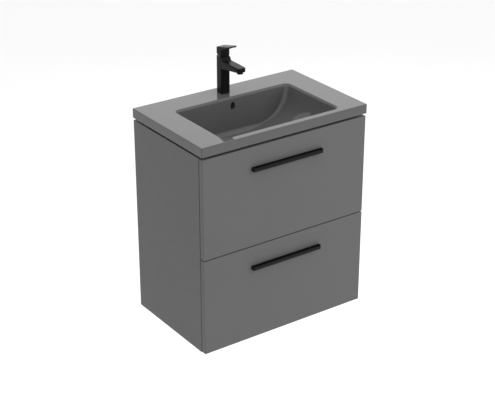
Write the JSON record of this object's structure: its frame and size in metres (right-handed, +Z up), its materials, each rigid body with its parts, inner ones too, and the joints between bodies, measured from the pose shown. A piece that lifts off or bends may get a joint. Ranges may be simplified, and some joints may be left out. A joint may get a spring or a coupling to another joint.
{
  "type": "bathroom vanity cabinet",
  "caption": "Wall-hung bathroom vanity: a slab basin with a sunk rectangular bowl and a lever tap, over a cabinet with stacked drawers and channel pulls.",
  "frame": {"origin": "middle of the hanging rail's back face, on the wall plane", "axes": "+X to the right seen from the room, +Y into the wall, +Z up; the drawers open towards -Y"},
  "size_m": [0.61, 0.3973, 0.8545],
  "materials": {
    "glazed_ceramic": "mid grey glaze, mirror gloss",
    "waste_cap": "grey cap that matches the basin, gloss",
    "grey_lacquer": "mid grey lacquer on board, matt",
    "core_board": "grey melamine faced board, matt",
    "matt_black_metal": "black coating, satin matt",
    "support_steel": "black powder coat, matt",
    "drawer_steel": "anthracite powder coat, matt",
    "black_plastic": "moulded black plastic, matt",
    "zinc_steel": "zinc plated steel, satin",
    "chrome": "chrome plated brass, polished",
    "brass": "turned brass",
    "rubber": "black rubber",
    "trap_plastic": "white polypropylene",
    "valve_plastic": "dark moulded plastic"
  },
  "bodies": {
    "cabinet": {"basin": "glazed_ceramic", "bottom_panel": "core_board", "hanging_rail": "core_board", "left_basin_support": "support_steel", "left_hanger_bracket": "zinc_steel", "left_lower_runner_rail": "zinc_steel", "left_side_panel": "grey_lacquer", "left_upper_runner_rail": "zinc_steel", "lower_rear_rail": "core_board", "middle_crossbar": "core_board", "right_basin_support": "support_steel", "right_hanger_bracket": "zinc_steel", "right_lower_runner_rail": "zinc_steel", "right_side_panel": "grey_lacquer", "right_upper_runner_rail": "zinc_steel", "tap_aerator": "valve_plastic", "tap_base_gasket": "rubber", "tap_body": "matt_black_metal", "tap_cartridge": "valve_plastic", "tap_cartridge_collar": "matt_black_metal", "tap_fixing_nut": "brass", "tap_fixing_washer": "zinc_steel", "tap_stud": "zinc_steel", "trap_body": "trap_plastic", "trap_cup": "trap_plastic", "trap_inlet_nut": "trap_plastic", "trap_outlet_nut": "trap_plastic", "trap_outlet_pipe": "trap_plastic", "waste_body": "chrome", "waste_lower_seal": "rubber", "waste_nut": "brass", "waste_upper_seal": "rubber"},
    "upper_drawer": {"left_upper_drawer_back": "core_board", "left_upper_drawer_side": "drawer_steel", "right_upper_drawer_back": "core_board", "right_upper_drawer_side": "drawer_steel", "upper_cut_out_guard": "black_plastic", "upper_drawer_bottom": "core_board", "upper_drawer_front": "grey_lacquer", "upper_handle": "matt_black_metal", "upper_handle_left_screw": "zinc_steel", "upper_handle_right_screw": "zinc_steel"},
    "lower_drawer": {"left_lower_drawer_side": "drawer_steel", "lower_drawer_back": "core_board", "lower_drawer_bottom": "core_board", "lower_drawer_front": "grey_lacquer", "lower_handle": "matt_black_metal", "lower_handle_left_screw": "zinc_steel", "lower_handle_right_screw": "zinc_steel", "right_lower_drawer_side": "drawer_steel"},
    "upper_left_runner": {"left_upper_runner_middle": "zinc_steel"},
    "upper_right_runner": {"right_upper_runner_middle": "zinc_steel"},
    "lower_left_runner": {"left_lower_runner_middle": "zinc_steel"},
    "lower_right_runner": {"right_lower_runner_middle": "zinc_steel"},
    "tap_turner": {"tap_spindle": "brass"},
    "tap_lever": {"tap_lever": "matt_black_metal"},
    "waste_plug": {"waste_plug": "waste_cap"}
  },
  "joints": [
    {"name": "upper_drawer_slide", "type": "slide", "parent": "cabinet", "child": "upper_drawer", "axis": [0, -1, 0], "range_m": [0, 0.28]},
    {"name": "upper_left_runner_slide", "type": "slide", "parent": "cabinet", "child": "upper_left_runner", "axis": [0, -1, 0], "range_m": [0, 0.14]},
    {"name": "upper_right_runner_slide", "type": "slide", "parent": "cabinet", "child": "upper_right_runner", "axis": [0, -1, 0], "range_m": [0, 0.14]},
    {"name": "lower_drawer_slide", "type": "slide", "parent": "cabinet", "child": "lower_drawer", "axis": [0, -1, 0], "range_m": [0, 0.28]},
    {"name": "lower_left_runner_slide", "type": "slide", "parent": "cabinet", "child": "lower_left_runner", "axis": [0, -1, 0], "range_m": [0, 0.14]},
    {"name": "lower_right_runner_slide", "type": "slide", "parent": "cabinet", "child": "lower_right_runner", "axis": [0, -1, 0], "range_m": [0, 0.14]},
    {"name": "tap_temperature_turn", "type": "hinge", "parent": "cabinet", "child": "tap_turner", "pos_m": [0, -0.046, 0.281], "axis": [0, 0, 1], "range_deg": [-45, 45]},
    {"name": "tap_flow_tilt", "type": "hinge", "parent": "tap_turner", "child": "tap_lever", "pos_m": [0, -0.046, 0.281], "axis": [-1, 0, 0], "range_deg": [0, 25]},
    {"name": "waste_plug_slide", "type": "slide", "parent": "cabinet", "child": "waste_plug", "axis": [0, 0, 1], "range_m": [0, 0.008]}
  ],
  "couplings": [
    {"joint": "upper_left_runner_slide", "follows": "upper_drawer_slide", "ratio": 0.5},
    {"joint": "upper_right_runner_slide", "follows": "upper_drawer_slide", "ratio": 0.5},
    {"joint": "lower_left_runner_slide", "follows": "lower_drawer_slide", "ratio": 0.5},
    {"joint": "lower_right_runner_slide", "follows": "lower_drawer_slide", "ratio": 0.5}
  ]
}
